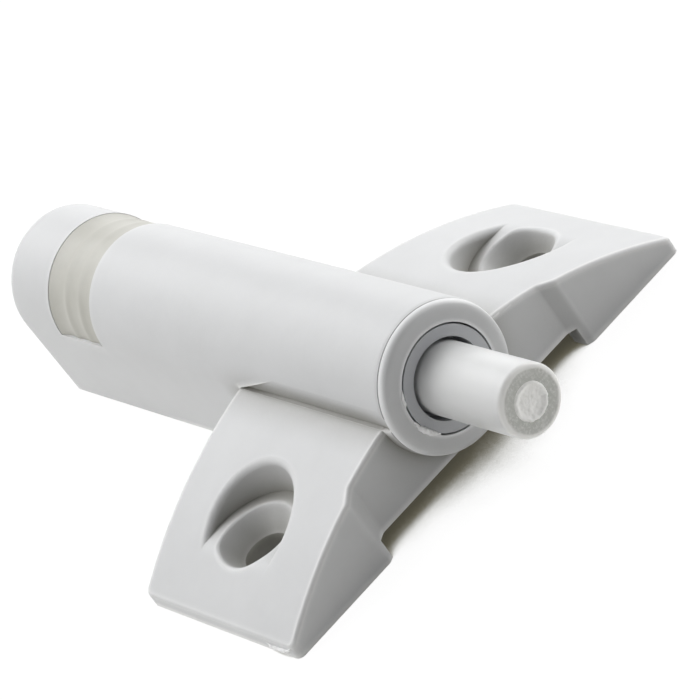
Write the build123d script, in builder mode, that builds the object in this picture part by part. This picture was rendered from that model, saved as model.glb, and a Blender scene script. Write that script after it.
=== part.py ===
from build123d import *
import math
import os

os.makedirs("parts", exist_ok=True)

# All lengths in millimetres. +X runs along the damper towards the plunger tip, +Z is up,
# the flat base stands on z = 0 and the origin lies midway between the two screw axes.

# Housing, tube body
axis_height = 9.4            # height of the damper axis over the base
tube_radius = 7.15           # outside of the tube
side_draft_deg = 1.8         # lean of the side walls towards the base
wall = 1.5                   # general wall of the moulding
front_plane = 12.6           # front face of the two feet
tube_front = 13.25           # front of the round mouth, the collar rests on it
rear_plane = -52.0           # closed rear end
bore_end_depth = 6.8         # bottom of the bore to the rear end
rear_edge_radius = 1.6       # rounding round the rear end
rear_base_radius = 1.2       # rounding of the rear end at the base
rim_length = 0.95            # the mouth rounds off over this length
rim_drop = 0.25              # by this much
lean_top = 11.2              # over the wings the side of the tube leans in below this height
lean_foot = 0.41             # by this much where it meets the wing
lean_rear = -11.7            # rear end of the leaning side, at the wing
lean_rear_top = -4.5         # and at its upper edge
lean_rounding = 2.3          # radius from the leaning side into the round of the tube

# Housing, wings
wing_rear = -11.8            # rear face of the wings
wing_span = 52.7             # tip to tip
wing_root_height = 9.48      # top of the wing where it meets the tube
wing_bulge = 1.17            # rise of the arched top over its chord
wing_overlap = 0.55          # the wings reach this far into the tube
tip_height = 1.5             # height of the upright tip face
tip_corner_radius = 0.7      # corners of the tip seen from above
wing_edge_radius = 0.35      # front and rear edges of the wing top
step_depth = 0.9             # front wall between the feet lies this far back
step_outer = 14.2            # outer end of the slanted step, from the middle
step_width = 1.45            # width of the slanted step
underpass_height = 2.1       # front wall between the feet ends this high
underpass_depth = 9.0        # the raised part of the underside runs this far back
underpass_half_width = 13.6
hollow_bays = 4              # bays under the tube behind the wings
rib_thickness = 1.2          # cross ribs between them
wing_skin = 1.7              # skin over the hollow underside of the wings
hollow_tip_margin = 3.2      # hollow ends this far inside the wing tip
hollow_tip_height = 2.1      # height of the hollow there

# Screw holes in the wings
screw_pitch = 37.0           # distance between the two screw axes
screw_hole_radius = 2.25     # through hole
pocket_foot_radius = 5.45    # pocket at its floor
pocket_draft_deg = 6.0       # lean of the pocket wall
pocket_floor = 4.55          # height of the pocket floor
pocket_rim_radius = 0.7      # rounding where the pocket wall meets the wing top
pocket_floor_blend = 3.0     # radius that leads the pocket floor into the wing top
sink_radius = 4.05           # top of the countersink
sink_half_angle_deg = 40.0   # half of the countersink angle
sink_rounding = 0.4          # rounding of its upper edge
boss_radius = 7.0            # boss round the screw hole on the underside

# Window and locking clip
window_from_rear = 8.3       # window to the rear end
window_length = 7.8
clip_gap = 0.12              # clip to window, each end
clip_recess = 0.32           # ribs of the clip lie this far under the tube surface
clip_groove_depth = 0.2      # grooves between the ribs
clip_groove_width = 0.95
clip_leg_drop = 1.8          # legs reach this far below the axis
clip_leg_thickness = 0.8
clip_leg_gap = 0.15          # legs to the housing pocket

# Cartridge sleeve
collar_inset = 0.08          # collar lies this far inside the tube surface
collar_thickness = 0.55
collar_rounding = 0.87       # the front edge rounds off over this much of the radius
collar_back_chamfer = 0.12
sleeve_fit = 0.05            # sleeve in the housing bore
sleeve_wall = 1.1
sleeve_end_gap = 0.2         # rear face of the sleeve to the bottom of the bore
lock_groove_depth = 1.0      # ring groove for the clip rib
lock_groove_width = 2.4
lock_rib_gap = 0.1           # clip rib to the groove walls
tail_core_wall = 2.4         # wall round the core hole in the rear of the sleeve
tail_core_depth = 8.0

# Front bush
bush_head_thickness = 1.5
bush_head_step = 0.4         # bush head stands this far over the sleeve bore
bush_wall = 1.05             # wall at the guiding lands
bush_line_gap = 0.12         # thin gap between bush head and collar
bush_mouth_gap = 0.41        # visible gap round the plunger
bush_mouth_depth = 2.6
bush_land_length = 4.5       # guiding lands at both ends
bush_relief = 0.3            # depth of the relief between the lands
bush_rear = -6.0             # rear face, stops the plunger

# Plunger
plunger_tip = 26.05
plunger_fit = 0.05           # running fit in the bush
plunger_tip_radius = 0.45
dish_radius = 1.85           # round recess in the tip
dish_depth = 0.3
oil_space_share = 0.735      # radius of the oil space to that of the plunger
front_wall = 3.2             # closed front of the plunger
plunger_rear = -9.2
stroke = 11.5                # travel of the plunger, down to the end buffer

# Plunger cap and the packing behind the oil space
cap_gap = 0.25               # cap to the sleeve bore
cap_thickness = 2.0
rod_share = 0.4              # radius of the rod to that of the oil space
rod_fit = 0.05               # running fit of the rod in cap and retainer
rod_grip = 8.0               # rod pressed into the sleeve this deep
seal_fit = 0.02              # running fit of the rod in its seal
seal_length = 1.8
seal_washer_thickness = 0.5
foam_length = 5.0
foam_gap = 0.1               # foam to the bore
foam_hole_gap = 0.3          # foam to the rod
retainer_thickness = 1.0

# Piston
piston_fit = 0.05            # running fit in the plunger bore
piston_length = 3.0
piston_rest_gap = 0.4        # piston to the foam retainer at rest
ring_groove_depth = 0.55
ring_groove_width = 0.9
ring_fit = 0.02              # piston ring to the plunger bore
port_count = 4
port_radius = 0.25
valve_thickness = 0.2
rod_clip_thickness = 0.4
rod_clip_gap = 0.24          # push-on washer to the coil
rod_step = 0.25              # rod is this much thinner inside the piston
rod_stub = 0.6               # rod end in front of the push-on washer

# Return spring
spring_wire_radius = 0.16
spring_clearance = 0.39      # coil to the oil cylinder
spring_turns = 8
spring_wire_sides = 6        # the fine wire is drawn with flats

# End buffer
buffer_rim_gap = 0.3         # buffer to the sleeve bore
buffer_hole_gap = 0.4
buffer_thickness = 2.0
buffer_gap = 0.1             # plunger cap to the buffer at full stroke

# Values that follow from those above
draft = math.radians(side_draft_deg)
base_half_width = tube_radius / math.cos(draft) - axis_height * math.tan(draft)
side_top = (tube_radius * math.cos(draft), axis_height - tube_radius * math.sin(draft))
half_span = wing_span / 2
wing_root = tube_radius - wing_overlap
sink_depth = (sink_radius - screw_hole_radius) / math.tan(math.radians(sink_half_angle_deg))
bore_radius = tube_radius - wall
bore_end = rear_plane + bore_end_depth
sleeve_end = bore_end + sleeve_end_gap
window_rear = rear_plane + window_from_rear
collar_radius = tube_radius - collar_inset
sleeve_radius = bore_radius - sleeve_fit
sleeve_bore_radius = sleeve_radius - sleeve_wall
tail_core_radius = sleeve_radius - tail_core_wall
plunger_radius = sleeve_bore_radius - bush_wall - plunger_fit
bush_mouth_radius = plunger_radius + bush_mouth_gap
cylinder_radius = plunger_radius * oil_space_share
rod_radius = cylinder_radius * rod_share
rod_step_radius = rod_radius - rod_step
cap_radius = sleeve_bore_radius - cap_gap
buffer_radius = sleeve_bore_radius - buffer_rim_gap
spring_mean_radius = cylinder_radius - spring_clearance - spring_wire_radius
rod_clip_radius = spring_mean_radius - spring_wire_radius - rod_clip_gap
collar_face = tube_front + collar_thickness
bush_head_radius = sleeve_bore_radius + bush_head_step
cylinder_front = plunger_tip - front_wall
seal_front = plunger_rear + seal_length
washer_front = seal_front + seal_washer_thickness
foam_front = washer_front + foam_length
retainer_front = foam_front + retainer_thickness
piston_rear = retainer_front + piston_rest_gap
piston_front = piston_rear + piston_length
valve_front = piston_front + valve_thickness
clip_front = valve_front + rod_clip_thickness
rod_front = clip_front + rod_stub
sleeve_bottom = plunger_rear - cap_thickness - stroke - buffer_gap - buffer_thickness
rod_anchor = sleeve_bottom - rod_grip
window_middle = window_rear + window_length / 2


def wing_top_mid(y_in, z_in, y_out, z_out, rise):
    """Middle point of the arched wing top between two ends."""
    dy = y_out - y_in
    dz = z_out - z_in
    length = math.hypot(dy, dz)
    return ((y_in + y_out) / 2 - rise * dz / length, (z_in + z_out) / 2 + rise * dy / length)


def axis_plane(x):
    """Plane across the damper axis at the given station."""
    return Plane(origin=(x, 0, axis_height), x_dir=(0, 1, 0), z_dir=(1, 0, 0))


profile_plane = Plane(origin=(0, 0, axis_height), x_dir=(1, 0, 0), z_dir=(0, -1, 0))
damper_axis = Axis((0, 0, axis_height), (1, 0, 0))


def turned(points):
    """Body of revolution about the damper axis from (station, radius) points."""
    with BuildSketch(profile_plane) as profile:
        with BuildLine():
            Polyline(*points, close=True)
        make_face()
    revolve(profile.sketch, axis=damper_axis)


def wing_section(station, root_y, root_z, tip_y, tip_z, rise, ceiling=None):
    """Faces of both wings from the base to an arched top, or to a ceiling that blends into it."""
    mid = wing_top_mid(root_y, root_z, tip_y, tip_z, rise)
    with BuildSketch(Plane.YZ.offset(station)) as section:
        for side in (1, -1):
            with BuildLine():
                Line((side * root_y, 0), (side * tip_y, 0))
                Line((side * tip_y, 0), (side * tip_y, tip_z))
                ThreePointArc((side * tip_y, tip_z), (side * mid[0], mid[1]), (side * root_y, root_z))
                Line((side * root_y, root_z), (side * root_y, 0))
            make_face()
        if ceiling:
            with Locations((0, ceiling / 2)):
                Rectangle(2 * tip_y, ceiling, mode=Mode.INTERSECT)
            corners = section.vertices().filter_by(lambda v: v.Y > ceiling - 0.01 and abs(v.X) > root_y + 1)
            fillet(corners, pocket_floor_blend)
    return section.sketch


# Space in front of the set back wall between the feet
with BuildPart() as front_relief:
    with BuildSketch(Plane.XY.offset(-1)):
        with BuildLine():
            Polyline(
                (front_plane - step_depth, -step_outer + step_width),
                (front_plane, -step_outer),
                (front_plane + 1, -step_outer),
                (front_plane + 1, step_outer),
                (front_plane, step_outer),
                (front_plane - step_depth, step_outer - step_width),
                close=True,
            )
        make_face()
    extrude(amount=axis_height + tube_radius + wall)

# What the leaning sides take off the tube over the wings
lean_top_y = math.sqrt(tube_radius ** 2 - (lean_top - axis_height) ** 2)
lean_foot_y = tube_radius - lean_foot
lean = math.atan2(lean_top_y - lean_foot_y, lean_top - axis_height)
brow = math.asin((lean_top - axis_height) / tube_radius)
brow_length = lean_rounding * math.tan((lean + brow) / 2)
brow_end = brow + brow_length / tube_radius
arc_low = (lean_top_y - brow_length * math.sin(lean), lean_top - brow_length * math.cos(lean))
arc_high = (tube_radius * math.cos(brow_end), axis_height + tube_radius * math.sin(brow_end))
with BuildPart() as side_reliefs:
    with BuildSketch(Plane.YZ.offset(lean_rear)):
        for side in (1, -1):
            with BuildLine():
                Line((side * lean_foot_y, axis_height), (side * arc_low[0], arc_low[1]))
                TangentArc(
                    (side * arc_low[0], arc_low[1]),
                    (side * arc_high[0], arc_high[1]),
                    tangent=(side * math.sin(lean), math.cos(lean)),
                )
                Line((side * arc_high[0], arc_high[1]), (side * (tube_radius + 1), arc_high[1]))
                Line((side * (tube_radius + 1), arc_high[1]), (side * (tube_radius + 1), axis_height))
                Line((side * (tube_radius + 1), axis_height), (side * lean_foot_y, axis_height))
            make_face()
    extrude(amount=tube_front - lean_rear)
    with BuildSketch(Plane.XZ.offset(-tube_radius - 1)):
        with BuildLine():
            Polyline(
                (lean_rear, axis_height),
                (lean_rear_top, arc_high[1]),
                (tube_front, arc_high[1]),
                (tube_front, axis_height),
                close=True,
            )
        make_face()
    extrude(amount=2 * tube_radius + 2, mode=Mode.INTERSECT)

# Wings
with BuildPart() as wings:
    section = wing_section(wing_rear, wing_root, wing_root_height, half_span, tip_height, wing_bulge)
    extrude(section, amount=front_plane - wing_rear)
    add(front_relief.part, mode=Mode.SUBTRACT)
    uprights = wings.edges().filter_by(Axis.Z).filter_by(lambda e: abs(e.center().Y) > wing_root + 1)
    fillet(uprights, tip_corner_radius)
    tops = wings.faces().filter_by(GeomType.CYLINDER).filter_by(lambda f: f.radius > 3 * tube_radius)
    rims = tops.edges().filter_by(lambda e: abs(e.center().Y) > wing_root + 0.1)
    fillet(rims, wing_edge_radius)

# What the pockets leave of the wings under their floor, with the countersinks
with BuildPart() as pocket_floors:
    floor_section = wing_section(
        -2 * pocket_foot_radius, wing_root, wing_root_height, half_span, tip_height, wing_bulge, pocket_floor
    )
    extrude(floor_section, amount=4 * pocket_foot_radius)
    with BuildSketch(Plane.XY):
        with Locations((0, screw_pitch / 2), (0, -screw_pitch / 2)):
            Circle(pocket_foot_radius + 3 * pocket_rim_radius)
    extrude(amount=axis_height, mode=Mode.INTERSECT)
    with BuildSketch(Plane.XY.offset(pocket_floor - sink_depth)):
        with Locations((0, screw_pitch / 2), (0, -screw_pitch / 2)):
            Circle(screw_hole_radius)
    extrude(amount=sink_depth, taper=-sink_half_angle_deg, mode=Mode.SUBTRACT)
    sinks = pocket_floors.faces().filter_by(GeomType.CONE)
    upper_edges = sinks.edges().filter_by(lambda e: e.center().Z > pocket_floor - sink_depth + 0.1)
    fillet(upper_edges, sink_rounding)

# Wings with the round pocket walls and their rounded rims
with BuildPart() as pocketed_wings:
    add(wings.part)
    pocket_slope = math.tan(math.radians(pocket_draft_deg))
    with BuildSketch(Plane.XY.offset(-1)):
        with Locations((0, screw_pitch / 2), (0, -screw_pitch / 2)):
            Circle(pocket_foot_radius - (pocket_floor + 1) * pocket_slope)
    extrude(amount=wing_root_height + 2, taper=-pocket_draft_deg, mode=Mode.SUBTRACT)
    walls = pocketed_wings.faces().filter_by(GeomType.CONE)
    rims = walls.edges().filter_by(lambda e: e.center().Z > tip_height)
    fillet(rims, pocket_rim_radius)

# Round mouth of the tube
mouth_rear = front_plane - step_depth - 1
with BuildPart() as tube_mouth:
    with BuildSketch(profile_plane):
        with BuildLine():
            Polyline(
                (tube_front, tube_radius - rim_drop),
                (tube_front, 0),
                (mouth_rear, 0),
                (mouth_rear, tube_radius),
                (tube_front - rim_length, tube_radius),
            )
            TangentArc(
                (tube_front - rim_length, tube_radius),
                (tube_front, tube_radius - rim_drop),
                tangent=(1, 0),
            )
        make_face()
    revolve(axis=damper_axis)

# Hollow under the tube, open to the base
inner_half_width = base_half_width - wall
hollow_start = rear_plane + rear_base_radius + wall / 2
hollow_pitch = (wing_rear + wall - hollow_start + rib_thickness) / hollow_bays
with BuildPart() as keel_hollow:
    for bay in range(hollow_bays):
        with BuildSketch(Plane.YZ.offset(hollow_start + bay * hollow_pitch)):
            with Locations((0, axis_height / 2)):
                Rectangle(2 * inner_half_width, axis_height)
        extrude(amount=hollow_pitch - rib_thickness)
    with BuildSketch(Plane.YZ.offset(wing_rear + wall)):
        with Locations((0, axis_height / 2)):
            Rectangle(2 * inner_half_width, axis_height)
    extrude(amount=front_plane - step_depth - 2 * wall - wing_rear)
    with BuildSketch(axis_plane(bore_end - wall)):
        Circle(bore_radius + wall)
    extrude(amount=front_plane - bore_end + wall, mode=Mode.SUBTRACT)
    with BuildSketch(axis_plane(hollow_start)):
        Circle(tube_radius - wall)
    extrude(amount=bore_end - wall - hollow_start)

# Hollow under the wings, with a boss left round each screw hole
hollow_root_height = wing_root_height - wing_skin
with BuildPart() as wing_hollow:
    hollow_section = wing_section(
        wing_rear + wall, tube_radius + 0.3, hollow_root_height,
        half_span - hollow_tip_margin, hollow_tip_height, wing_bulge / 2
    )
    extrude(hollow_section, amount=front_plane - step_depth - 2 * wall - wing_rear)
    with BuildSketch(Plane.XY):
        with Locations((0, screw_pitch / 2), (0, -screw_pitch / 2)):
            Circle(boss_radius)
    extrude(amount=axis_height, mode=Mode.SUBTRACT)

# Housing
with BuildPart() as adapter_housing:
    # tube body
    with BuildSketch(Plane.YZ.offset(rear_plane)):
        with BuildLine():
            Line((-base_half_width, 0), (-side_top[0], side_top[1]))
            ThreePointArc((-side_top[0], side_top[1]), (0, axis_height + tube_radius), side_top)
            Line(side_top, (base_half_width, 0))
            Line((base_half_width, 0), (-base_half_width, 0))
        make_face()
    extrude(amount=front_plane - rear_plane)
    rear_face = adapter_housing.faces().sort_by(Axis.X)[0]
    fillet(rear_face.edges().filter_by(lambda e: e.center().Z > 0.5), rear_edge_radius)
    with BuildSketch(Plane.XZ.offset(-tube_radius)):
        with Locations((rear_plane + rear_base_radius / 2, rear_base_radius / 2)):
            Rectangle(rear_base_radius, rear_base_radius)
        with Locations((rear_plane + rear_base_radius, rear_base_radius)):
            Circle(rear_base_radius, mode=Mode.SUBTRACT)
    extrude(amount=2 * tube_radius, mode=Mode.SUBTRACT)

    # front below the tube, set back like the wings
    add(front_relief.part, mode=Mode.SUBTRACT)
    add(tube_mouth.part)

    # sides leaning in over the wings
    add(side_reliefs.part, mode=Mode.SUBTRACT)

    # wings, raised between the feet
    add(pocketed_wings.part)
    add(pocket_floors.part)
    with BuildSketch(Plane.XY):
        with Locations((front_plane - underpass_depth / 2, 0)):
            Rectangle(underpass_depth, 2 * underpass_half_width)
    extrude(amount=underpass_height, mode=Mode.SUBTRACT)

    # hollow underside
    add(keel_hollow.part, mode=Mode.SUBTRACT)
    add(wing_hollow.part, mode=Mode.SUBTRACT)

    # screw holes
    with BuildSketch(Plane.XY):
        with Locations((0, screw_pitch / 2), (0, -screw_pitch / 2)):
            Circle(screw_hole_radius)
    extrude(amount=pocket_floor, mode=Mode.SUBTRACT)

    # bore for the cartridge
    with BuildSketch(axis_plane(bore_end)):
        Circle(bore_radius)
    extrude(amount=tube_front - bore_end, mode=Mode.SUBTRACT)

    # window and the pocket for the legs of the clip
    with BuildSketch(Plane.XY.offset(axis_height)):
        with Locations((window_middle, 0)):
            Rectangle(window_length, 2 * tube_radius + 1)
    extrude(amount=tube_radius + 1, mode=Mode.SUBTRACT)
    leg_pocket = sleeve_radius + clip_leg_thickness + clip_leg_gap
    with BuildSketch(axis_plane(window_rear)):
        Circle(leg_pocket)
        with Locations((0, -clip_leg_drop / 2 - 0.1)):
            Rectangle(3 * tube_radius, clip_leg_drop + 0.2, mode=Mode.INTERSECT)
    extrude(amount=window_length, mode=Mode.SUBTRACT)
adapter_housing.part.label = "adapter_housing"
export_step(adapter_housing.part, "parts/adapter_housing.step")

# Locking clip
clip_radius = tube_radius - clip_recess
clip_rear = window_rear + clip_gap
clip_length = window_length - 2 * clip_gap
with BuildPart() as locking_clip:
    with BuildSketch(axis_plane(clip_rear)):
        Circle(clip_radius)
        Circle(sleeve_radius, mode=Mode.SUBTRACT)
        with Locations((0, tube_radius)):
            Rectangle(3 * tube_radius, 2 * tube_radius, mode=Mode.INTERSECT)
    extrude(amount=clip_length)
    with BuildSketch(axis_plane(window_middle - clip_length / 4)):
        Circle(sleeve_radius + clip_leg_thickness)
        Circle(sleeve_radius, mode=Mode.SUBTRACT)
        with Locations((0, -clip_leg_drop / 2)):
            Rectangle(3 * tube_radius, clip_leg_drop, mode=Mode.INTERSECT)
    extrude(amount=clip_length / 2)
    rib_length = lock_groove_width - 2 * lock_rib_gap
    with BuildSketch(axis_plane(window_middle - rib_length / 2)):
        Circle(sleeve_radius + 0.2)
        Circle(sleeve_radius - lock_groove_depth + lock_rib_gap, mode=Mode.SUBTRACT)
        with Locations((0, tube_radius)):
            Rectangle(3 * tube_radius, 2 * tube_radius, mode=Mode.INTERSECT)
    extrude(amount=rib_length)
    for groove in (clip_rear, window_middle - clip_groove_width / 2, clip_rear + clip_length - clip_groove_width):
        with BuildSketch(axis_plane(groove)):
            Circle(clip_radius + 1)
            Circle(clip_radius - clip_groove_depth, mode=Mode.SUBTRACT)
        extrude(amount=clip_groove_width, mode=Mode.SUBTRACT)
locking_clip.part.label = "locking_clip"
export_step(locking_clip.part, "parts/locking_clip.step")

# Cartridge sleeve with its collar
head_seat = bush_head_radius + bush_line_gap
with BuildPart() as damper_sleeve:
    with BuildSketch(profile_plane):
        with BuildLine():
            Polyline(
                (collar_face, collar_radius - collar_rounding),
                (collar_face, head_seat),
                (collar_face - bush_head_thickness, head_seat),
                (collar_face - bush_head_thickness, sleeve_bore_radius),
                (sleeve_bottom, sleeve_bore_radius),
                (sleeve_bottom, 0),
                (sleeve_end, 0),
                (sleeve_end, sleeve_radius),
                (tube_front, sleeve_radius),
                (tube_front, collar_radius - collar_back_chamfer),
                (tube_front + collar_back_chamfer, collar_radius),
            )
            TangentArc(
                (collar_face, collar_radius - collar_rounding),
                (tube_front + collar_back_chamfer, collar_radius),
                tangent=(0, 1),
            )
        make_face()
    revolve(axis=damper_axis)
    with BuildSketch(axis_plane(window_middle - lock_groove_width / 2)):
        Circle(sleeve_radius + 1)
        Circle(sleeve_radius - lock_groove_depth, mode=Mode.SUBTRACT)
    extrude(amount=lock_groove_width, mode=Mode.SUBTRACT)
    with BuildSketch(axis_plane(sleeve_end)):
        Circle(tail_core_radius)
    extrude(amount=tail_core_depth, mode=Mode.SUBTRACT)
    with BuildSketch(axis_plane(rod_anchor)):
        Circle(rod_radius)
    extrude(amount=sleeve_bottom - rod_anchor, mode=Mode.SUBTRACT)
    tail = damper_sleeve.edges().filter_by(GeomType.CIRCLE).sort_by(Axis.X)
    tail = tail.filter_by(lambda e: abs(e.radius - sleeve_radius) < 0.01)
    chamfer(tail[:1], 0.5)
damper_sleeve.part.label = "damper_sleeve"
export_step(damper_sleeve.part, "parts/damper_sleeve.step")

# Front bush, its rear face stops the plunger cap
land_radius = plunger_radius + plunger_fit
with BuildPart() as front_bush:
    turned([
        (collar_face, bush_mouth_radius),
        (collar_face, bush_head_radius),
        (collar_face - bush_head_thickness, bush_head_radius),
        (collar_face - bush_head_thickness, sleeve_bore_radius),
        (bush_rear, sleeve_bore_radius),
        (bush_rear, land_radius),
        (bush_rear + bush_land_length, land_radius),
        (bush_rear + bush_land_length, land_radius + bush_relief),
        (collar_face - bush_mouth_depth - bush_land_length, land_radius + bush_relief),
        (collar_face - bush_mouth_depth - bush_land_length, land_radius),
        (collar_face - bush_mouth_depth, land_radius),
        (collar_face - bush_mouth_depth, bush_mouth_radius),
    ])
front_bush.part.label = "front_bush"
export_step(front_bush.part, "parts/front_bush.step")

# Plunger, the moving oil cylinder
with BuildPart() as plunger:
    turned([
        (plunger_rear, cylinder_radius),
        (plunger_rear, plunger_radius),
        (plunger_tip, plunger_radius),
        (plunger_tip, dish_radius),
        (plunger_tip - dish_depth, dish_radius - dish_depth),
        (plunger_tip - dish_depth, 0),
        (cylinder_front, 0),
        (cylinder_front, cylinder_radius),
    ])
    edges = plunger.edges().filter_by(GeomType.CIRCLE)
    edges = edges.filter_by(lambda e: abs(e.radius - plunger_radius) < 0.01).sort_by(Axis.X)
    fillet(edges[-1:], plunger_tip_radius)
plunger.part.label = "plunger"
export_step(plunger.part, "parts/plunger.step")

# Plunger cap
with BuildPart() as plunger_cap:
    turned([
        (plunger_rear - cap_thickness, rod_radius + rod_fit),
        (plunger_rear - cap_thickness, cap_radius),
        (bush_rear, cap_radius),
        (bush_rear, plunger_radius),
        (plunger_rear, plunger_radius),
        (plunger_rear, rod_radius + rod_fit),
    ])
plunger_cap.part.label = "plunger_cap"
export_step(plunger_cap.part, "parts/plunger_cap.step")


def packing(rear, front, hole, radius):
    """Plain ring on the rod between two stations."""
    turned([(rear, hole), (rear, radius), (front, radius), (front, hole)])


# Packing behind the oil space
with BuildPart() as rod_seal:
    packing(plunger_rear, seal_front, rod_radius + seal_fit, cylinder_radius)
    with BuildSketch(axis_plane(plunger_rear + seal_length / 3)):
        Circle((rod_radius + cylinder_radius) / 2 + 0.3)
        Circle((rod_radius + cylinder_radius) / 2 - 0.3, mode=Mode.SUBTRACT)
    extrude(amount=seal_length, mode=Mode.SUBTRACT)
rod_seal.part.label = "rod_seal"
export_step(rod_seal.part, "parts/rod_seal.step")

with BuildPart() as seal_washer:
    packing(seal_front, washer_front, rod_radius + 2 * rod_fit, cylinder_radius)
seal_washer.part.label = "seal_washer"
export_step(seal_washer.part, "parts/seal_washer.step")

with BuildPart() as foam_ring:
    packing(washer_front, foam_front, rod_radius + foam_hole_gap, cylinder_radius - foam_gap)
foam_ring.part.label = "foam_ring"
export_step(foam_ring.part, "parts/foam_ring.step")

with BuildPart() as foam_retainer:
    packing(foam_front, retainer_front, rod_radius + rod_fit, cylinder_radius)
    with BuildSketch(axis_plane(foam_front)):
        with PolarLocations((rod_radius + cylinder_radius) / 2, port_count):
            Circle(port_radius)
    extrude(amount=retainer_thickness, mode=Mode.SUBTRACT)
foam_retainer.part.label = "foam_retainer"
export_step(foam_retainer.part, "parts/foam_retainer.step")

# Piston with its ring, valve disc and push-on washer
piston_radius = cylinder_radius - piston_fit
groove_radius = piston_radius - ring_groove_depth
groove_rear = (piston_rear + piston_front - ring_groove_width) / 2
port_circle_radius = (rod_step_radius + groove_radius) / 2
with BuildPart() as piston:
    turned([
        (piston_rear, rod_step_radius),
        (piston_rear, piston_radius),
        (groove_rear, piston_radius),
        (groove_rear, groove_radius),
        (groove_rear + ring_groove_width, groove_radius),
        (groove_rear + ring_groove_width, piston_radius),
        (piston_front, piston_radius),
        (piston_front, rod_step_radius),
    ])
    with BuildSketch(axis_plane(piston_rear)):
        with PolarLocations(port_circle_radius, port_count):
            Circle(port_radius)
    extrude(amount=piston_length, mode=Mode.SUBTRACT)
piston.part.label = "piston"
export_step(piston.part, "parts/piston.step")

with BuildPart() as piston_ring:
    packing(groove_rear, groove_rear + ring_groove_width, groove_radius, cylinder_radius - ring_fit)
piston_ring.part.label = "piston_ring"
export_step(piston_ring.part, "parts/piston_ring.step")

with BuildPart() as valve_disc:
    packing(piston_front, valve_front, rod_step_radius, piston_radius - 0.2)
valve_disc.part.label = "valve_disc"
export_step(valve_disc.part, "parts/valve_disc.step")

with BuildPart() as rod_clip:
    packing(valve_front, clip_front, rod_step_radius, rod_clip_radius)
rod_clip.part.label = "rod_clip"
export_step(rod_clip.part, "parts/rod_clip.step")

with BuildPart() as piston_rod:
    turned([
        (rod_anchor, 0),
        (rod_anchor, rod_radius),
        (piston_rear, rod_radius),
        (piston_rear, rod_step_radius),
        (rod_front, rod_step_radius),
        (rod_front, 0),
    ])
piston_rod.part.label = "piston_rod"
export_step(piston_rod.part, "parts/piston_rod.step")

# Return spring between the valve disc and the closed front of the plunger
spring_length = cylinder_front - valve_front - 2 * spring_wire_radius
with BuildPart() as return_spring:
    with BuildLine() as coil:
        Helix(
            pitch=spring_length / spring_turns,
            height=spring_length,
            radius=spring_mean_radius,
            center=(valve_front + spring_wire_radius, 0, axis_height),
            direction=(1, 0, 0),
        )
    with BuildSketch(Plane(origin=coil.line @ 0, z_dir=coil.line % 0)):
        RegularPolygon(spring_wire_radius, spring_wire_sides)
    sweep()
return_spring.part.label = "return_spring"
export_step(return_spring.part, "parts/return_spring.step")

# End buffer in the bottom of the sleeve
with BuildPart() as end_buffer:
    packing(sleeve_bottom, sleeve_bottom + buffer_thickness, rod_radius + buffer_hole_gap, buffer_radius)
end_buffer.part.label = "end_buffer"
export_step(end_buffer.part, "parts/end_buffer.step")
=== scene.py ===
import math

import bmesh
import bpy
from mathutils import Matrix, Vector, noise


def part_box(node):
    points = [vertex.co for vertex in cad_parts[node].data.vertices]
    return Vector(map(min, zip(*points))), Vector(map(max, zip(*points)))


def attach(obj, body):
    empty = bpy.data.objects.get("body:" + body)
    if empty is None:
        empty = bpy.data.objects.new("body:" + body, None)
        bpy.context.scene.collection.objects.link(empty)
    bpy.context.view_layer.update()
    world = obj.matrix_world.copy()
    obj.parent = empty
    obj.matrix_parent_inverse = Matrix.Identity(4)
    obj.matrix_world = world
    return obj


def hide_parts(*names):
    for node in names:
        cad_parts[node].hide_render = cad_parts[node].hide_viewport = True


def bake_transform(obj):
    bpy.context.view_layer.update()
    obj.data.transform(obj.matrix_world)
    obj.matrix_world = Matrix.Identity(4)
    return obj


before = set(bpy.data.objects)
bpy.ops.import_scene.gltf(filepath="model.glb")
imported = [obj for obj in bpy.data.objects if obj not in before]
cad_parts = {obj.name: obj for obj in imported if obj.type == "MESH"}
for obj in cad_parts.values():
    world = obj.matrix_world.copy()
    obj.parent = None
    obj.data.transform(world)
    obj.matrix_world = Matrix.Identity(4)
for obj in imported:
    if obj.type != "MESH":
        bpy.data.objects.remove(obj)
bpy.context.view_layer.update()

MM = 0.001
AXIS_Z = 9.4                   # height of the damper axis, mm
COLLAR_FACE = 13.8             # front face of the collar
TIP = 26.05                    # plunger tip
SCREW_X, SCREW_Y = 0.0, 18.5   # screw holes, the second at -SCREW_Y
WING_TIP_Y = -26.35            # outer face of the wing that carries the flash
CREASE = math.radians(32)      # steeper edges are shaded sharp


# Colours are written as sRGB hex and turned linear here
def linear(hex_colour):
    def channel(text):
        c = int(text, 16) / 255
        return c / 12.92 if c <= 0.04045 else ((c + 0.055) / 1.055) ** 2.4
    h = hex_colour.lstrip("#")
    return (channel(h[0:2]), channel(h[2:4]), channel(h[4:6]), 1.0)


def add(tree, kind, settings=None, stops=(), **links):
    """Add a node. settings holds its own options and stops the (position, colour) pairs of a colour ramp.
    links holds its sockets, by name or as _number: a value or another node's output."""
    node = tree.nodes.new(kind)
    for name, value in (settings or {}).items():
        setattr(node, name, value)
    if stops:
        elements = node.color_ramp.elements
        while len(elements) < len(stops):
            elements.new(0.5)
        for element, (position, shade) in zip(elements, stops):
            element.position = position
            element.color = linear(shade)
    for name, value in links.items():
        if name.startswith("_"):
            socket = node.inputs[int(name[1:])]
        else:
            socket = node.inputs[name.replace("_", " ")]
        if isinstance(value, bpy.types.NodeSocket):
            tree.links.new(value, socket)
        else:
            socket.default_value = value
    return node


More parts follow.
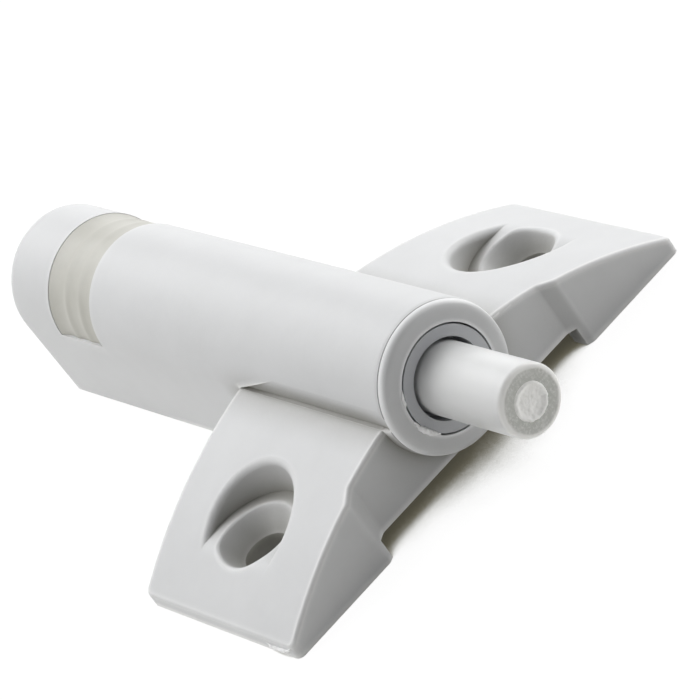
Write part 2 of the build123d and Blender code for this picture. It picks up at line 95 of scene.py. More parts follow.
def new_material(name):
    material = bpy.data.materials.new(name)
    material.use_nodes = True
    tree = material.node_tree
    tree.nodes.clear()
    out = tree.nodes.new("ShaderNodeOutputMaterial")
    shader = tree.nodes.new("ShaderNodeBsdfPrincipled")
    tree.links.new(shader.outputs[0], out.inputs["Surface"])
    return material, tree, shader


def per_mm(size):
    """Scale of a noise whose features are size millimetres wide."""
    return 1 / (size * MM)


def moulded_plastic(name, shade, cloud, rough, grain_mm, grain_depth, wave_depth):
    """Injection moulded plastic: slow clouds from the melt flow, a fine spark texture and slight sink waves."""
    material, tree, shader = new_material(name)
    place = add(tree, "ShaderNodeTexCoord").outputs["Object"]
    clouds = add(tree, "ShaderNodeTexNoise", Vector=place, Scale=per_mm(7), Detail=3.0, Roughness=0.55)
    flow = add(tree, "ShaderNodeTexNoise", Vector=place, Scale=per_mm(1.6), Detail=4.0, Roughness=0.6)
    both = add(tree, "ShaderNodeMix", {"data_type": "FLOAT"}, _0=0.35, _2=clouds.outputs["Fac"],
               _3=flow.outputs["Fac"])
    ramp = add(tree, "ShaderNodeValToRGB", stops=[(0.32, cloud), (0.66, shade)], Fac=both.outputs[0])
    tree.links.new(ramp.outputs["Color"], shader.inputs["Base Color"])
    gloss = add(tree, "ShaderNodeMapRange", Value=flow.outputs["Fac"], From_Min=0.3, From_Max=0.7,
                To_Min=rough - 0.05, To_Max=rough + 0.06)
    tree.links.new(gloss.outputs["Result"], shader.inputs["Roughness"])
    waves = add(tree, "ShaderNodeTexNoise", Vector=place, Scale=per_mm(4.5), Detail=1.0)
    wave_bump = add(tree, "ShaderNodeBump", Strength=1.0, Distance=wave_depth * MM, Height=waves.outputs["Fac"])
    grain = add(tree, "ShaderNodeTexNoise", Vector=place, Scale=per_mm(grain_mm), Detail=2.0, Roughness=0.6)
    grain_bump = add(tree, "ShaderNodeBump", Strength=1.0, Distance=grain_depth * MM, Height=grain.outputs["Fac"],
                     Normal=wave_bump.outputs["Normal"])
    tree.links.new(grain_bump.outputs["Normal"], shader.inputs["Normal"])
    shader.inputs["IOR"].default_value = 1.5
    return material, tree, shader


def painted_edge_light_and_hollow_shade(tree, shader, hollow_shade, edge, depth, edge_mm, highlight_share=1.0):
    """Painted light on plastic: painted shade makes deep corners a little darker and warmer, and a painted highlight
    makes thin convex edges paler.
    """
    base = shader.inputs["Base Color"].links[0].from_socket
    # painted shade: the base colour is multiplied towards the hollow colour where ambient occlusion finds close
    # surfaces
    open_sky = add(tree, "ShaderNodeAmbientOcclusion", {"samples": 6, "only_local": True}, Distance=depth)
    hollow_shade_mask = add(tree, "ShaderNodeMapRange", Value=open_sky.outputs["AO"], From_Min=0.55, From_Max=0.95,
               To_Min=1.0, To_Max=0.0)
    hollow_shaded = add(tree, "ShaderNodeMix", {"data_type": "RGBA", "blend_type": "MULTIPLY"}, _0=hollow_shade_mask.outputs["Result"],
                _6=base, _7=linear(hollow_shade))
    # painted highlight: the colour is mixed towards the pale edge colour where rays traced inwards soon meet the
    # other face of a thin edge
    inside_occlusion = add(tree, "ShaderNodeAmbientOcclusion", {"samples": 4, "only_local": True, "inside": True},
                     Distance=edge_mm * MM)
    edge_highlight_mask = add(tree, "ShaderNodeMapRange", Value=inside_occlusion.outputs["AO"], From_Min=0.96, From_Max=0.6,
              To_Min=0.0, To_Max=1.0)
    edge_highlight_mask = add(tree, "ShaderNodeMath", {"operation": "MULTIPLY"}, _0=edge_highlight_mask.outputs["Result"], _1=highlight_share)
    edge_highlighted = add(tree, "ShaderNodeMix", {"data_type": "RGBA"}, _0=edge_highlight_mask.outputs[0], _6=hollow_shaded.outputs[2],
                 _7=linear(edge))
    tree.links.new(edge_highlighted.outputs[2], shader.inputs["Base Color"])
    return edge_highlighted.outputs[2]


# ABS, moulded in a spark textured tool: satin light grey with faint flow clouds
housing_abs, tree, shader = moulded_plastic("moulded_abs_light_grey", "#CACBCC", "#C5C6C7",
                                            0.46, 0.16, 0.006, 0.02)

# Its screw pockets get the deepest painted shade, and its rear end hardly any painted edge highlight
place = add(tree, "ShaderNodeTexCoord").outputs["Object"]
station = add(tree, "ShaderNodeSeparateXYZ", Vector=place)
side = add(tree, "ShaderNodeMath", {"operation": "ABSOLUTE"}, _0=station.outputs["Y"])
off_screw = add(tree, "ShaderNodeCombineXYZ", X=station.outputs["X"], Y=side.outputs[0])
off_screw = add(tree, "ShaderNodeVectorMath", {"operation": "DISTANCE"}, _0=off_screw.outputs[0],
                _1=(SCREW_X * MM, SCREW_Y * MM, 0))
pocket_shade_depth = add(tree, "ShaderNodeMapRange", Value=off_screw.outputs["Value"],
                 From_Min=5.5 * MM, From_Max=8 * MM, To_Min=6.5 * MM, To_Max=4 * MM)
highlight_share = add(tree, "ShaderNodeMapRange", Value=station.outputs["X"],
                 From_Min=-34 * MM, From_Max=-28 * MM, To_Min=0.12, To_Max=0.85)
# painted shade #B0ADA4 in its hollows and a painted highlight #F4F4F3 on its thin edges
housing_colour = painted_edge_light_and_hollow_shade(tree, shader, "#B0ADA4", "#F4F4F3", pocket_shade_depth.outputs["Result"], 0.7,
                                   highlight_share.outputs["Result"])

# Painted shadow line at its mouth, where the tube ends a hair short of the collar
gap_shadow_band = add(tree, "ShaderNodeMapRange", Value=station.outputs["X"], From_Min=12.8 * MM, From_Max=12.9 * MM)
gap_shadowed = add(tree, "ShaderNodeMix", {"data_type": "RGBA"}, _0=gap_shadow_band.outputs["Result"], _6=housing_colour,
             _7=linear("#38383A"))
tree.links.new(gap_shadowed.outputs[2], shader.inputs["Base Color"])

# Acetal, moulded: the cartridge sleeve, a little smoother than the housing, with a painted highlight on its thin
# edges and a faint painted shade in its hollows
sleeve_acetal, tree, shader = moulded_plastic("moulded_acetal_grey", "#C9CACB", "#C3C4C5",
                                              0.4, 0.14, 0.004, 0.012)
painted_edge_light_and_hollow_shade(tree, shader, "#D2D0C9", "#EEEFF0", 2.0 * MM, 0.4)

# Acetal, moulded, a shade darker and cooler: the bush the plunger runs in
bush_acetal = moulded_plastic("moulded_acetal_bush", "#B9BBBE", "#B2B4B8", 0.42, 0.14, 0.004, 0.012)[0]

# Natural acetal, moulded: the off-white plunger, slightly waxy so that light softens its edges
plunger_acetal, tree, shader = moulded_plastic("moulded_acetal_natural", "#D4D5D5", "#CECFCF",
                                               0.36, 0.2, 0.003, 0.012)
shader.inputs["Subsurface Weight"].default_value = 0.25
shader.inputs["Subsurface Radius"].default_value = (1.0, 1.0, 0.95)
shader.inputs["Subsurface Scale"].default_value = 0.6 * MM

# Its tip face has a frosted rim and a duller, faintly green ring with pale specks, left by the hot gate
FACE_REACH = 4                 # radius at the end of the ramp, mm
RING_STOPS = [(1.8, "#EEEEEC"), (2.0, "#BEC0BB"), (2.95, "#C3C4C0"), (3.15, "#F2F2F0")]
place = add(tree, "ShaderNodeTexCoord").outputs["Object"]
across = add(tree, "ShaderNodeMapping", Vector=place, Location=(0, 0, -AXIS_Z * MM), Scale=(0, 1, 1))
reach = add(tree, "ShaderNodeVectorMath", {"operation": "LENGTH"}, _0=across.outputs[0])
uneven = add(tree, "ShaderNodeTexNoise", Vector=place, Scale=per_mm(0.9), Detail=3.0)
reach = add(tree, "ShaderNodeMath", {"operation": "MULTIPLY_ADD"}, _0=uneven.outputs["Fac"], _1=0.3 * MM,
            _2=reach.outputs["Value"])
reach = add(tree, "ShaderNodeMath", {"operation": "DIVIDE"}, _0=reach.outputs[0], _1=FACE_REACH * MM)
face_shade = add(tree, "ShaderNodeValToRGB", Fac=reach.outputs[0],
                 stops=[(radius / FACE_REACH, shade) for radius, shade in RING_STOPS])
specks = add(tree, "ShaderNodeTexNoise", Vector=place, Scale=per_mm(0.24), Detail=3.0, Roughness=0.65)
specks = add(tree, "ShaderNodeMapRange", Value=specks.outputs["Fac"], From_Min=0.45, From_Max=0.8,
             To_Min=0.0, To_Max=0.7)
frosted = add(tree, "ShaderNodeMix", {"data_type": "RGBA"}, _0=specks.outputs["Result"],
              _6=face_shade.outputs["Color"], _7=linear("#F2F2F0"))
station = add(tree, "ShaderNodeSeparateXYZ", Vector=place)
at_tip = add(tree, "ShaderNodeMapRange", Value=station.outputs["X"], From_Min=(TIP - 0.4) * MM,
             From_Max=(TIP - 0.15) * MM)
plain_colour = shader.inputs["Base Color"].links[0].from_socket
dressed_tip = add(tree, "ShaderNodeMix", {"data_type": "RGBA"}, _0=at_tip.outputs["Result"], _6=plain_colour,
                  _7=frosted.outputs[2])
tree.links.new(dressed_tip.outputs[2], shader.inputs["Base Color"])

# Nylon, moulded and undyed: the beige locking clip
clip_nylon = moulded_plastic("moulded_nylon_beige", "#B6B5AE", "#ABAAA2", 0.42, 0.2, 0.006, 0.02)[0]

# Torn acetal at the gate mark: rough and whitened
torn_acetal = moulded_plastic("torn_acetal_white", "#FFFFFE", "#F4F4F1", 0.55, 0.22, 0.025, 0.03)[0]

# Thin flash left at mould joints: nearly white where it is torn
flash_plastic = moulded_plastic("moulding_flash", "#FBFBFB", "#EEEEEF", 0.5, 0.12, 0.03, 0.02)[0]


def ground_steel(name, shade, dark, rough, line_mm):
    """Centreless ground steel: fine rings round the axis from the wheel."""
    material, tree, shader = new_material(name)
    place = add(tree, "ShaderNodeTexCoord").outputs["Object"]
    squeezed = add(tree, "ShaderNodeMapping", Vector=place, Scale=(1.0, 0.04, 0.04))
    rings = add(tree, "ShaderNodeTexNoise", Vector=squeezed.outputs[0], Scale=per_mm(line_mm), Detail=3.0)
    ramp = add(tree, "ShaderNodeValToRGB", stops=[(0.3, dark), (0.7, shade)], Fac=rings.outputs["Fac"])
    tree.links.new(ramp.outputs["Color"], shader.inputs["Base Color"])
    shader.inputs["Metallic"].default_value = 1.0
    gloss = add(tree, "ShaderNodeMapRange", Value=rings.outputs["Fac"], From_Min=0.3, From_Max=0.7,
                To_Min=rough - 0.05, To_Max=rough + 0.08)
    tree.links.new(gloss.outputs["Result"], shader.inputs["Roughness"])
    bump = add(tree, "ShaderNodeBump", Strength=1.0, Distance=0.002 * MM, Height=rings.outputs["Fac"])
    tree.links.new(bump.outputs["Normal"], shader.inputs["Normal"])
    return material


# Hardened steel of the rod, ground
rod_steel = ground_steel("ground_steel", "#C9CACC", "#A9AAAD", 0.22, 0.08)

# Drawn spring wire with its dull oil film
spring_steel = ground_steel("drawn_spring_wire", "#A7A8AA", "#7F8083", 0.34, 0.05)

# Nitrile rubber, moulded: near black with a dusty bloom
rubber_black = moulded_plastic("moulded_nitrile_black", "#2A2A2B", "#1B1B1C", 0.62, 0.12, 0.012, 0.02)[0]


def cell_foam():
    """Closed cell foam: open faced bubbles about 0.25 mm wide."""
    material, tree, shader = new_material("closed_cell_foam")
    place = add(tree, "ShaderNodeTexCoord").outputs["Object"]
    cells = add(tree, "ShaderNodeTexVoronoi", Vector=place, Scale=per_mm(0.25))
    ramp = add(tree, "ShaderNodeValToRGB", stops=[(0.0, "#2E3034"), (1.0, "#5A5D62")],
               Fac=cells.outputs["Distance"])
    tree.links.new(ramp.outputs["Color"], shader.inputs["Base Color"])
    shader.inputs["Roughness"].default_value = 0.85
    bump = add(tree, "ShaderNodeBump", Strength=1.0, Distance=0.06 * MM, Height=cells.outputs["Distance"])
    tree.links.new(bump.outputs["Normal"], shader.inputs["Normal"])
    return material


foam = cell_foam()

finishes = {
    "adapter_housing": housing_abs,
    "locking_clip": clip_nylon,
    "damper_sleeve": sleeve_acetal,
    "front_bush": bush_acetal,
    "plunger": plunger_acetal,
    "plunger_cap": plunger_acetal,
    "rod_seal": rubber_black,
    "seal_washer": plunger_acetal,
    "foam_ring": foam,
    "foam_retainer": plunger_acetal,
    "piston": plunger_acetal,
    "piston_ring": rubber_black,
    "valve_disc": spring_steel,
    "piston_rod": rod_steel,
    "rod_clip": spring_steel,
    "end_buffer": rubber_black,
    "return_spring": spring_steel,
}
for node, material in finishes.items():
    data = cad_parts[node].data
    data.materials.clear()
    data.materials.append(material)


def mesh_piece(name, points, faces, material):
    """Smooth shaded piece from points in millimetres, its doubled points joined and its normals outward."""
    data = bpy.data.meshes.new(name)
    data.from_pydata([tuple(c * MM for c in p) for p in points], [], faces)
    shell = bmesh.new()
    shell.from_mesh(data)
    bmesh.ops.remove_doubles(shell, verts=shell.verts, dist=1e-7)
    bmesh.ops.recalc_face_normals(shell, faces=shell.faces)
    shell.to_mesh(data)
    shell.free()
    for face in data.polygons:
        face.use_smooth = True
    data.materials.append(material)
    piece = bpy.data.objects.new(name, data)
    bpy.context.collection.objects.link(piece)
    return piece


def round_axis(station, radius, angle):
    """Point at the given station, radius and angle from +Y round the damper axis, in millimetres."""
    return (station, radius * math.cos(angle), AXIS_Z + radius * math.sin(angle))


def turned_piece(name, profile, material, segments=144):
    """Body of revolution about the damper axis from (station, radius) points in millimetres."""
    points, faces = [], []
    for k in range(segments):
        angle = 2 * math.pi * k / segments
        points += [round_axis(x, r, angle) for x, r in profile]
    count = len(profile)
    for k in range(segments):
        k2 = (k + 1) % segments
        for i in range(count - 1):
            faces.append((k * count + i, k * count + i + 1, k2 * count + i + 1, k2 * count + i))
    piece = mesh_piece(name, points, faces, material)
    piece.data.set_sharp_from_angle(angle=CREASE)
    return piece


# Sleeve with its collar: (station, radius) along the cavity, over the collar's soft front edge, back along the
# outside with the groove of the clip, and round the rear
GAP_RADIUS = 5.08              # outer radius of the gap round the bush
SLEEVE_RADIUS = 5.6
cavity = [(-32.8, 0), (-32.8, 1.0), (-24.8, 1.0), (-24.8, 4.5), (12.3, 4.5), (12.3, GAP_RADIUS),
          (COLLAR_FACE, GAP_RADIUS)]
collar_edge = [(13.797, 5.95), (13.79, 6.12), (13.775, 6.27), (13.745, 6.42), (13.695, 6.56), (13.625, 6.69),
               (13.535, 6.8), (13.425, 6.89), (13.3, 6.965), (13.17, 7.015), (13.04, 7.05), (12.99, 7.065)]
outside = [(12.96, 7.055), (12.95, 6.9), (13.25, 6.6), (13.25, SLEEVE_RADIUS), (-38.6, SLEEVE_RADIUS),
           (-38.6, 4.6), (-41.0, 4.6), (-41.0, SLEEVE_RADIUS), (-44.5, SLEEVE_RADIUS), (-45.0, 5.1),
           (-45.0, 3.2), (-37.0, 3.2), (-37.0, 0)]
sleeve = turned_piece("sleeve_with_collar", cavity + collar_edge + outside, sleeve_acetal)
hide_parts("damper_sleeve")
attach(sleeve, "adapter_body")

# Locking clip: a half ring that fills the window of the tube, sunk a little, with soft ribs and soft steps
WINDOW = (-43.66, -35.94)      # stations of its rear and front face
CLIP_RADIUS = 6.86             # its surface between the ribs
CLIP_BORE = 5.62               # its inner face, a hair outside the sleeve
LEG_RADIUS = 6.38              # outer face of its legs
RIBS = (-40.6, -38.1)          # stations of the ribs
RIB_HEIGHT = 0.1
RIB_WIDTH = 0.55
REAR_STEP = (0.24, 1.8)        # height and length of the rise towards its rear face
FRONT_STEP = (0.1, 0.8)        # the same towards its front face


def swept(points, faces, profile, first_deg, last_deg, steps):
    """Add a closed (station, radius) profile turned about the axis from one angle to the other, with end faces."""
    start, count = len(points), len(profile)
    for k in range(steps + 1):
        angle = math.radians(first_deg + (last_deg - first_deg) * k / steps)
        points += [round_axis(x, r, angle) for x, r in profile]
    for k in range(steps):
        low, high = start + k * count, start + (k + 1) * count
        for i in range(count):
            faces.append((low + i, low + (i + 1) % count, high + (i + 1) % count, high + i))
    faces.append(tuple(start + i for i in range(count)))
    faces.append(tuple(start + steps * count + i for i in reversed(range(count))))


def soft_clip():
    points, faces, outer = [], [], []
    rear, front = WINDOW
    steps = 40
    for i in range(steps + 1):
        x = rear + (front - rear) * i / steps
        ribs = sum(RIB_HEIGHT * math.exp(-((x - middle) / RIB_WIDTH) ** 2) for middle in RIBS)
        rise = sum(height * max(0.0, 1 - away / length) ** 2
                   for (height, length), away in ((REAR_STEP, x - rear), (FRONT_STEP, front - x)))
        outer.append((x, CLIP_RADIUS + rise + ribs))
    # its inner face with the rib that sits in the groove of the sleeve
    inner = [(front, CLIP_BORE), (-38.75, CLIP_BORE), (-38.75, 4.75), (-40.85, 4.75), (-40.85, CLIP_BORE),
             (rear, CLIP_BORE)]
    swept(points, faces, outer + inner, 0, 180, 72)
    # the two legs, below the axis
    leg = [(-41.68, LEG_RADIUS), (-37.92, LEG_RADIUS), (-37.92, CLIP_BORE), (-41.68, CLIP_BORE)]
    for first, last in ((-17, 2), (178, 197)):
        swept(points, faces, leg, first, last, 8)
    piece = mesh_piece("locking_clip_soft", points, faces, clip_nylon)
    piece.data.set_sharp_from_angle(angle=CREASE)
    return piece


clip = soft_clip()
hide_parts("locking_clip")
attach(clip, "adapter_body")


def geometry_tree(name, sizes):
    """Geometry Nodes tree with a geometry input and named inputs for its sizes."""
    tree = bpy.data.node_groups.new(name, "GeometryNodeTree")
    tree.interface.new_socket("Geometry", in_out="OUTPUT", socket_type="NodeSocketGeometry")
    tree.interface.new_socket("Geometry", in_out="INPUT", socket_type="NodeSocketGeometry")
    for label, kind in sizes.items():
        tree.interface.new_socket(label, in_out="INPUT", socket_type=kind)
    return tree, tree.nodes.new("NodeGroupInput").outputs


def finish_tree(tree, geometry, material):
    """Smooth, realized and dressed geometry to the tree's output."""
    smooth = add(tree, "GeometryNodeSetShadeSmooth", Geometry=geometry)
    real = add(tree, "GeometryNodeRealizeInstances", Geometry=smooth.outputs[0])
    dressed = add(tree, "GeometryNodeSetMaterial", Geometry=real.outputs[0], Material=material)
    add(tree, "NodeGroupOutput", Geometry=dressed.outputs[0])


def grown(name, tree, values, path=()):
    """Plain mesh piece from the tree, its inputs set to the values, along a path in millimetres."""
    data = bpy.data.meshes.new(name)
    data.from_pydata([tuple(c * MM for c in p) for p in path], [(i, i + 1) for i in range(len(path) - 1)], [])
    start = bpy.data.objects.new(name + "_start", data)
    bpy.context.collection.objects.link(start)
    modifier = start.modifiers.new("grow", "NODES")
    modifier.node_group = tree
    for item in tree.interface.items_tree:
        if item.in_out == "INPUT" and item.name in values:
            modifier[item.identifier] = values[item.name]
    depsgraph = bpy.context.evaluated_depsgraph_get()
    result = bpy.data.meshes.new_from_object(start.evaluated_get(depsgraph), depsgraph=depsgraph)
    bpy.data.objects.remove(start)
    result.name = name
    piece = bpy.data.objects.new(name, result)
    bpy.context.collection.objects.link(piece)
    return piece


# Return spring: round wire with closed end turns, squeezed between valve disc and plunger
COIL_TURNS = 10
CLOSED_SHARE = 0.03            # the first and last turn take up this share of the length each
WIRE_RADIUS = 0.16 * MM
tree, size = geometry_tree("wound_wire", {
    "Start": "NodeSocketFloat", "Length": "NodeSocketFloat", "Axis Height": "NodeSocketFloat",
    "Coil Radius": "NodeSocketFloat", "Wire Radius": "NodeSocketFloat", "Material": "NodeSocketMaterial"})
spiral = add(tree, "GeometryNodeCurveSpiral", Resolution=28, Rotations=COIL_TURNS,
             Start_Radius=size["Coil Radius"], End_Radius=size["Coil Radius"], Height=size["Length"])
at = add(tree, "GeometryNodeInputPosition")
at = add(tree, "ShaderNodeSeparateXYZ", Vector=at.outputs[0])
share = add(tree, "ShaderNodeMath", {"operation": "DIVIDE"}, _0=at.outputs["Z"], _1=size["Length"])
pitch_curve = add(tree, "ShaderNodeFloatCurve", Value=share.outputs[0])
line = pitch_curve.mapping.curves[0]
line.points.new(1 / COIL_TURNS, CLOSED_SHARE)
line.points.new(1 - 1 / COIL_TURNS, 1 - CLOSED_SHARE)
for point in line.points:
    point.handle_type = "VECTOR"
pitch_curve.mapping.update()
along = add(tree, "ShaderNodeMath", {"operation": "MULTIPLY_ADD"}, _0=pitch_curve.outputs[0], _1=size["Length"],
            _2=size["Start"])
up = add(tree, "ShaderNodeMath", {"operation": "ADD"}, _0=at.outputs["Y"], _1=size["Axis Height"])
place = add(tree, "ShaderNodeCombineXYZ", X=along.outputs[0], Y=at.outputs["X"], Z=up.outputs[0])
laid = add(tree, "GeometryNodeSetPosition", Geometry=spiral.outputs[0], Position=place.outputs[0])
wire = add(tree, "GeometryNodeCurvePrimitiveCircle", {"mode": "RADIUS"}, Resolution=8, Radius=size["Wire Radius"])
wound = add(tree, "GeometryNodeCurveToMesh", Curve=laid.outputs[0], Profile_Curve=wire.outputs["Curve"],
            Fill_Caps=True)
finish_tree(tree, wound.outputs[0], size["Material"])

spring_low, spring_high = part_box("return_spring")
coil_start = spring_low[0] + WIRE_RADIUS
coil_length = spring_high[0] - spring_low[0] - 2 * WIRE_RADIUS
coil_radius = (spring_high[1] - spring_low[1]) / 2 - WIRE_RADIUS
coil_spring = grown("return_spring_coil", tree, {
    "Start": coil_start, "Length": coil_length, "Axis Height": AXIS_Z * MM, "Coil Radius": coil_radius,
    "Wire Radius": WIRE_RADIUS, "Material": spring_steel})
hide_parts("return_spring")
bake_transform(coil_spring)

# Gate mark over the dish of the plunger tip: a torn, hollow disc with a raised ragged rim, closed below the face
MARK_RADIUS = 1.93
MARK_DEPTH = 0.12              # its middle lies this far under the tip face
RIM_RISE = 0.2                 # the rim stands this far over the middle
RIM_AT = 0.83                  # share of the radius at the crest of the rim
RIM_WIDTH = 0.13
FALL_FROM, FALL_WIDTH = 0.86, 0.14   # shares of the radius over which it falls under the face
EDGE_DEPTH = 0.06              # its edge lies this far under the tip face
FOOT = (0.26, 1.5)             # depth and radius of the closing disc


def gate_mark():
    rings, spokes = 22, 96
    angles = [2 * math.pi * k / spokes for k in range(spokes)]
    points, faces = [], []
    for r in range(rings + 1):
        share = r / rings
        for angle in angles:
            # a slow and a quick unevenness, in the outline and then in the height
            way = Vector((math.cos(angle), math.sin(angle), 0))
            ragged = (1 + 0.08 * noise.noise(2.6 * way + Vector((0, 0, 4)))
                      + 0.05 * noise.noise(9 * way + Vector((0, 0, 7))))
            reach = MARK_RADIUS * share * ragged
            y, z = reach * math.cos(angle), reach * math.sin(angle)
            lumps = (0.05 * noise.noise(Vector((y * 1.7, z * 1.7, 0.5)))
                     + 0.06 * noise.noise(Vector((y * 4, z * 4, 2.5))))
            height = -MARK_DEPTH + RIM_RISE * math.exp(-((share - RIM_AT) / RIM_WIDTH) ** 2) + lumps
            if share > FALL_FROM:
                height += (-EDGE_DEPTH - height) * ((share - FALL_FROM) / FALL_WIDTH) ** 1.5
            points.append((TIP + height, y, AXIS_Z + z))
    points += [round_axis(TIP - FOOT[0], FOOT[1], angle) for angle in angles]
    for r in range(rings + 1):
        for k in range(spokes):
            k2 = (k + 1) % spokes
            faces.append((r * spokes + k, r * spokes + k2, (r + 1) * spokes + k2, (r + 1) * spokes + k))
    faces.append(tuple((rings + 1) * spokes + k for k in range(spokes)))
    return mesh_piece("tip_gate_mark", points, faces, torn_acetal)


tip_mark = gate_mark()
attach(tip_mark, "plunger_body")

# Flash at the gap round the bush and on the tip of one wing: a ragged bead, thickest in the middle
tree, size = geometry_tree("torn_burr", {
    "Width": "NodeSocketFloat", "Seed": "NodeSocketFloat", "Material": "NodeSocketMaterial"})
edge = add(tree, "GeometryNodeMeshToCurve", Mesh=size["Geometry"])
edge = add(tree, "GeometryNodeResampleCurve", Curve=edge.outputs[0], Count=30)
at = add(tree, "GeometryNodeInputPosition")
shake = add(tree, "ShaderNodeTexNoise", {"noise_dimensions": "4D"}, Vector=at.outputs[0], W=size["Seed"],
            Scale=per_mm(0.7), Detail=2.0)
shift = add(tree, "ShaderNodeVectorMath", {"operation": "MULTIPLY_ADD"}, _0=shake.outputs["Color"],
            _1=(0.2 * MM, 0.2 * MM, 0.2 * MM), _2=(-0.1 * MM, -0.1 * MM, -0.1 * MM))
edge = add(tree, "GeometryNodeSetPosition", Geometry=edge.outputs[0], Offset=shift.outputs[0])
share = add(tree, "GeometryNodeSplineParameter")
swell = add(tree, "ShaderNodeMath", {"operation": "MULTIPLY"}, _0=share.outputs["Factor"], _1=math.pi)
swell = add(tree, "ShaderNodeMath", {"operation": "SINE"}, _0=swell.outputs[0])
swell = add(tree, "ShaderNodeMath", {"operation": "MULTIPLY_ADD"}, _0=swell.outputs[0], _1=0.75, _2=0.25)
ragged = add(tree, "ShaderNodeTexNoise", {"noise_dimensions": "4D"}, Vector=at.outputs[0], W=size["Seed"],
             Scale=per_mm(0.3), Detail=2.0)
ragged = add(tree, "ShaderNodeMapRange", Value=ragged.outputs["Fac"], From_Min=0.3, From_Max=0.7,
             To_Min=0.5, To_Max=1.3)
thick = add(tree, "ShaderNodeMath", {"operation": "MULTIPLY"}, _0=swell.outputs[0], _1=ragged.outputs["Result"])
thick = add(tree, "ShaderNodeMath", {"operation": "MULTIPLY"}, _0=thick.outputs[0], _1=size["Width"])
bead = add(tree, "GeometryNodeCurvePrimitiveCircle", {"mode": "RADIUS"}, Resolution=8, Radius=1.0)
bead = add(tree, "GeometryNodeCurveToMesh", Curve=edge.outputs[0], Profile_Curve=bead.outputs["Curve"],
           Scale=thick.outputs[0], Fill_Caps=True)
finish_tree(tree, bead.outputs[0], size["Material"])

# Each burr: its path, radius, seed and the material slot of the piece it grew on
out = COLLAR_FACE + 0.08
tip_out = WING_TIP_Y - 0.02
burrs = {
    "gap_flash_upper": ([(out, -4.31, 12.2), (out, -4.68, 11.5), (out, -4.98, 10.6)], 0.15, 1.0,
                        "sleeve_plastic"),
    "gap_flash_lower": ([(out, -5.12, 9.0), (out, -4.97, 8.1), (out, -4.58, 7.22), (out, -4.07, 6.46),
                         (out, -3.77, 6.16)], 0.3, 2.0, "sleeve_plastic"),
    "wing_tip_flash": ([(7.9, tip_out, 0.9), (8.6, tip_out, 0.6), (9.9, tip_out, 0.6), (11.2, tip_out, 0.8),
                        (11.9, tip_out, 1.1)], 0.26, 3.0, "housing_plastic"),
}
for name, (path, width, seed, slot) in burrs.items():
    burr = grown(name, tree, {"Width": width * MM, "Seed": seed, "Material": flash_plastic}, path)
    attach(burr, "adapter_body")

# Camera at the photograph's angle: a long lens, rolled about 36 degrees
camera_data = bpy.data.cameras.new("photo_camera")
camera = bpy.data.objects.new("photo_camera", camera_data)
bpy.context.collection.objects.link(camera)
right = Vector((0.56098, 0.65128, -0.51097))
upward = Vector((-0.15538, 0.68913, 0.70776))
back = right.cross(upward)
turn = Matrix((right, upward, back)).transposed().to_4x4()
camera.matrix_world = Matrix.Translation(Vector((336.08, -131.92, 212.16)) * MM) @ turn
camera_data.lens = 235.17
camera_data.sensor_width = 36.0
camera_data.clip_start = 0.01
camera_data.clip_end = 20.0
bpy.context.scene.camera = camera

# Pale floor. The light it throws back is that of paper; the camera sees it as bright as the photograph's ground,
# which is white up to a narrow warm shadow where the piece comes close to it
FLOOR_HALF = 3                 # metres
floor_data = bpy.data.meshes.new("pale_floor")
corners = [(-FLOOR_HALF, -FLOOR_HALF, 0), (FLOOR_HALF, -FLOOR_HALF, 0), (FLOOR_HALF, FLOOR_HALF, 0),
           (-FLOOR_HALF, FLOOR_HALF, 0)]
floor_data.from_pydata(corners, [], [(0, 1, 2, 3)])
floor = bpy.data.objects.new("pale_floor", floor_data)
bpy.context.collection.objects.link(floor)
floor_material = bpy.data.materials.new("pale_studio_paper")
floor_material.use_nodes = True
tree = floor_material.node_tree
tree.nodes.clear()
path = add(tree, "ShaderNodeLightPath")
seen = add(tree, "ShaderNodeMath", {"operation": "MAXIMUM"}, _0=path.outputs["Is Camera Ray"],
           _1=path.outputs["Is Glossy Ray"])
seen = add(tree, "ShaderNodeMath", {"operation": "MAXIMUM"}, _0=seen.outputs[0],
           _1=path.outputs["Is Transmission Ray"])
paper = add(tree, "ShaderNodeBsdfDiffuse", Color=linear("#F4F3F0"))
shaded_paper = add(tree, "ShaderNodeBsdfDiffuse", Color=linear("#505050"))
# painted contact shadow: what the camera sees of the floor darkens to a warm shade where the piece comes close to it
closeness = add(tree, "ShaderNodeAmbientOcclusion", {"samples": 16}, Distance=14 * MM)
contact = add(tree, "ShaderNodeValToRGB", Fac=closeness.outputs["AO"],
              stops=[(0.1, "#454339"), (0.2, "#5A5647"), (0.25, "#6E6B5D"), (0.29, "#92918A"), (0.35, "#C9C9C6"),
                     (0.41, "#EAEAE8"), (0.465, "#FFFFFF")])
glow = add(tree, "ShaderNodeEmission", Color=contact.outputs["Color"], Strength=0.96)
seen_paper = add(tree, "ShaderNodeAddShader", _0=shaded_paper.outputs[0], _1=glow.outputs[0])
floor_mix = add(tree, "ShaderNodeMixShader", _0=seen.outputs[0], _1=paper.outputs[0], _2=seen_paper.outputs[0])
add(tree, "ShaderNodeOutputMaterial", Surface=floor_mix.outputs[0])
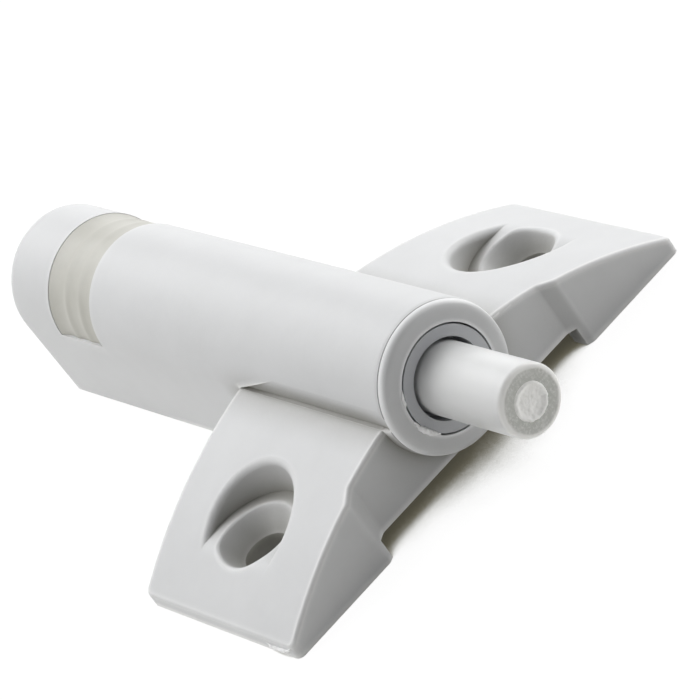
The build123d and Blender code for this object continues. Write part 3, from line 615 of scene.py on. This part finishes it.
floor_data.materials.append(floor_material)

# World: white where the camera, a reflection or a clear material sees it, and black for every other ray
world = bpy.data.worlds.new("white_room")
bpy.context.scene.world = world
world.use_nodes = True
tree = world.node_tree
tree.nodes.clear()
path = add(tree, "ShaderNodeLightPath")
seen = add(tree, "ShaderNodeMath", {"operation": "MAXIMUM"}, _0=path.outputs["Is Camera Ray"],
           _1=path.outputs["Is Transmission Ray"])
seen = add(tree, "ShaderNodeMath", {"operation": "MAXIMUM"}, _0=seen.outputs[0], _1=path.outputs["Is Glossy Ray"])
white = add(tree, "ShaderNodeBackground", Color=linear("#FFFFFF"), Strength=seen.outputs[0])
add(tree, "ShaderNodeOutputWorld", Surface=white.outputs[0])

# Studio boxes round the object, all looking at its middle, millimetres
LAMP_REACH = 550
LAMP_SIZE = 300
STAGE_MIDDLE = Vector((-8, 0, 6))


def softbox(name, azimuth_deg, elevation_deg, power):
    """Square lamp. azimuth 0 stands before the plunger tip and 90 on the +Y side."""
    azimuth, elevation = math.radians(azimuth_deg), math.radians(elevation_deg)
    place = LAMP_REACH * Vector((math.cos(elevation) * math.cos(azimuth), math.cos(elevation) * math.sin(azimuth),
                                 math.sin(elevation)))
    lamp_data = bpy.data.lights.new(name, "AREA")
    lamp_data.shape = "SQUARE"
    lamp_data.size = LAMP_SIZE * MM
    lamp_data.energy = power
    lamp = bpy.data.objects.new(name, lamp_data)
    bpy.context.collection.objects.link(lamp)
    aim = (place - STAGE_MIDDLE).to_track_quat("Z", "Y").to_matrix().to_4x4()
    lamp.matrix_world = Matrix.Translation(place * MM) @ aim


softbox("right_low", 90, 15, 1.34)
softbox("top_rear", 180, 65, 1.10)
softbox("left_rear", 225, 40, 0.98)
softbox("rear", 180, 40, 0.88)
softbox("left_low", 270, 15, 0.66)
softbox("right_rear", 135, 40, 0.42)
softbox("front_right", 45, 40, 0.40)
softbox("front_right_low", 45, 15, 0.34)
softbox("right_rear_low", 135, 15, 0.34)

bpy.context.scene.view_settings.view_transform = "Standard"
